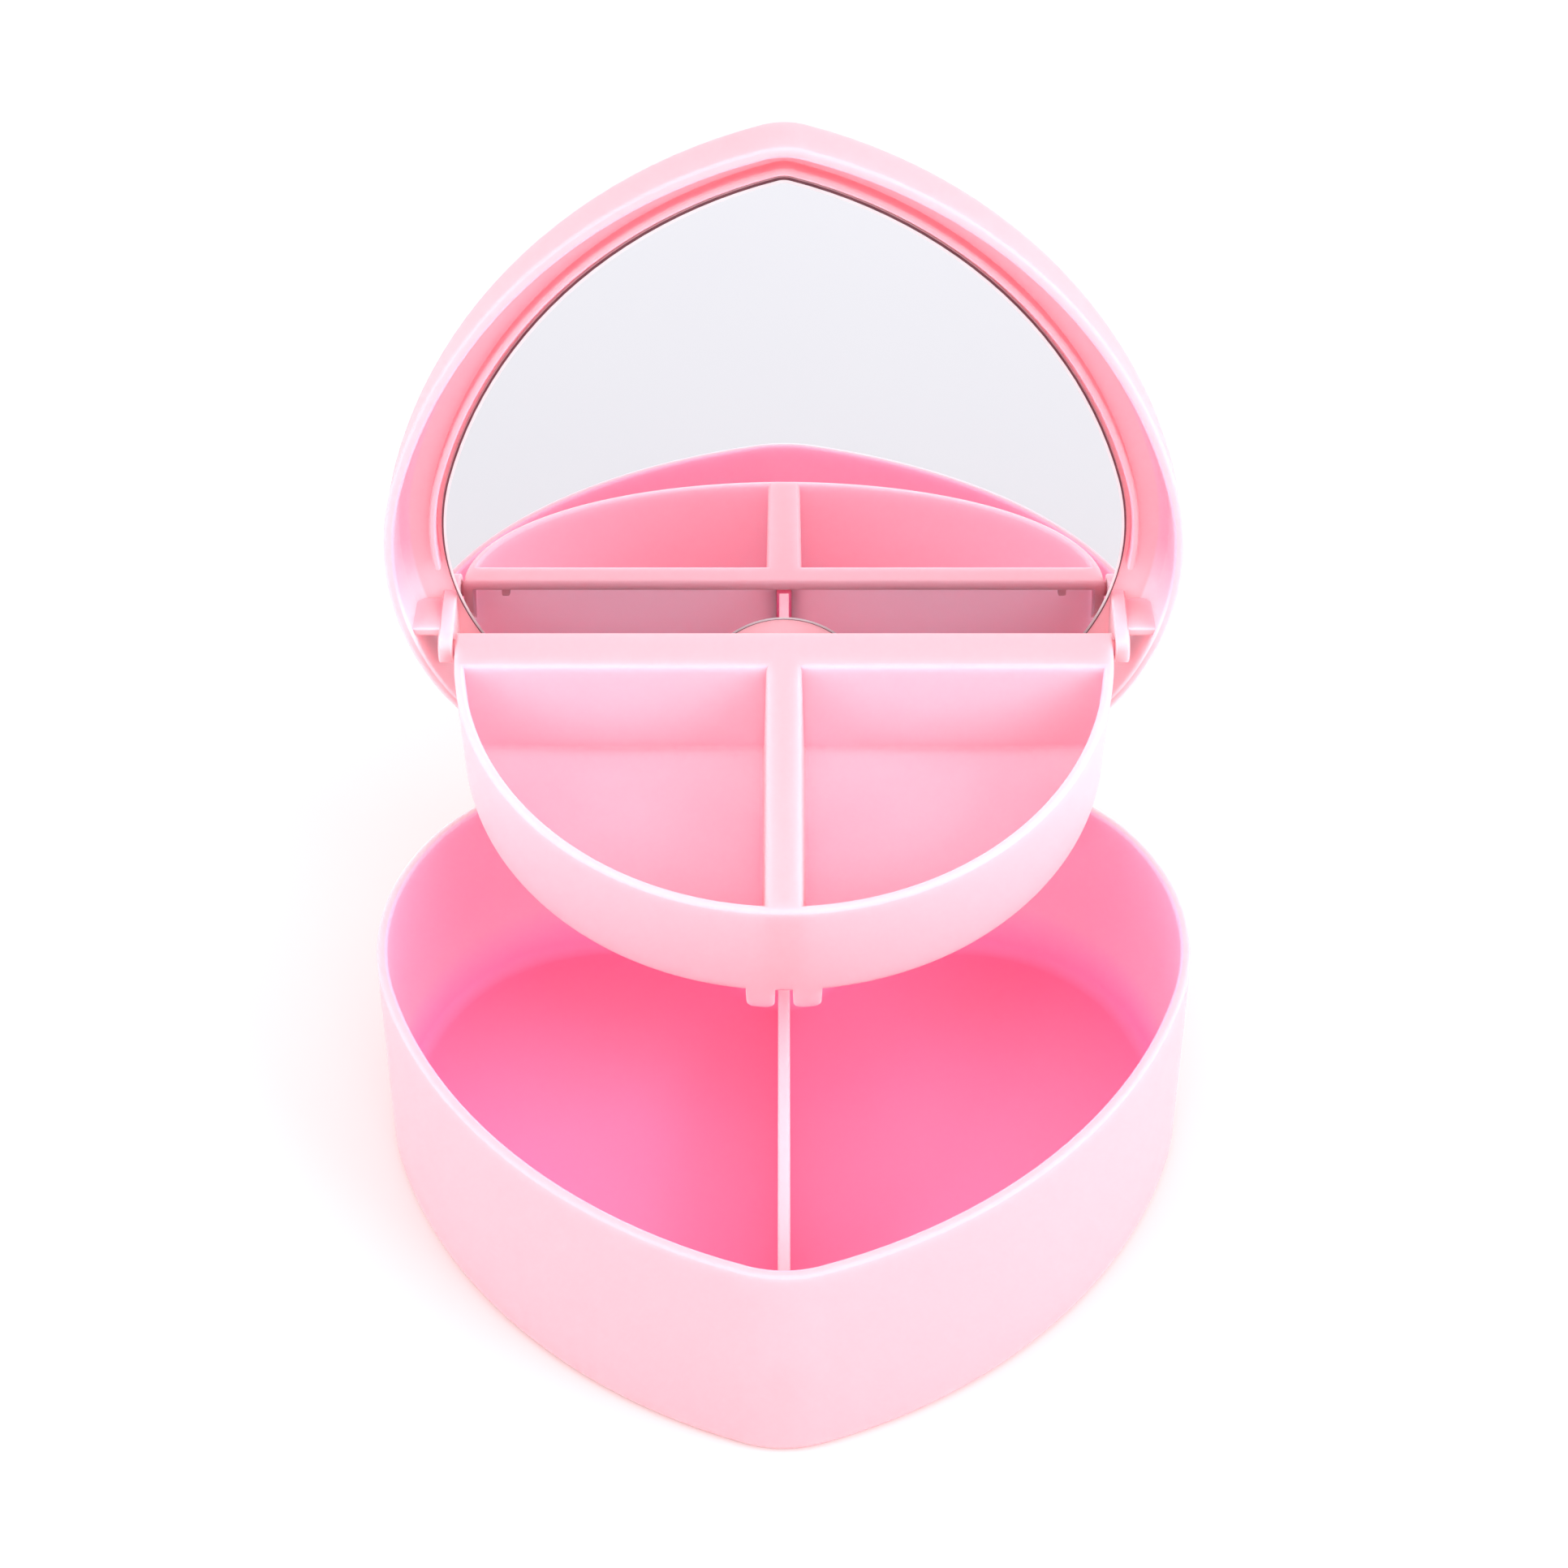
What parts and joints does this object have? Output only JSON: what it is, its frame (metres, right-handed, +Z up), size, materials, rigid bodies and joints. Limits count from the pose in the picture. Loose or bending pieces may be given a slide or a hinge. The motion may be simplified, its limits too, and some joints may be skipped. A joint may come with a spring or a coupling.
{
  "type": "heart-shaped storage case",
  "caption": "Heart-shaped two-tier pink plastic storage case with a mirror in its hinged lid and a half-moon tray that lifts on the lid's lugs as it opens.",
  "frame": {"origin": "On the flat underside of the base, below the heart's widest line and on its plane of symmetry.", "axes": "+Z up, -Y towards the tip of the heart (the front), +Y towards its lobes and hinges, X across the case along the hinge axis."},
  "size_m": [0.1208, 0.1269, 0.1418],
  "materials": {
    "base_plastic": "satin moulded pink plastic",
    "lid_plastic": "satin moulded pink plastic",
    "tray_plastic": "satin moulded pink plastic",
    "mirror_glass": "silvered glass with a cut edge",
    "tape": "white foam tape",
    "pin_steel": "drawn wire"
  },
  "bodies": {
    "base": {"base_tub": "base_plastic", "left_hinge_pin": "pin_steel", "right_hinge_pin": "pin_steel"},
    "lid": {"lid_shell": "lid_plastic", "mirror": "mirror_glass", "mirror_tape": "tape"},
    "tray": {"tray": "tray_plastic"}
  },
  "joints": [
    {"name": "lid_hinge", "type": "hinge", "parent": "base", "child": "lid", "pos_m": [0, 0.0382, 0.03655], "axis": [1, 0, 0], "range_deg": [0, 95]},
    {"name": "tray_pivot", "type": "hinge", "parent": "lid", "child": "tray", "pos_m": [0, 0.03944, 0.05977], "axis": [1, 0, 0], "range_deg": [-103.6, 0]}
  ],
  "couplings": [
    {"joint": "tray_pivot", "follows": "lid_hinge", "ratio": -1.0905}
  ]
}
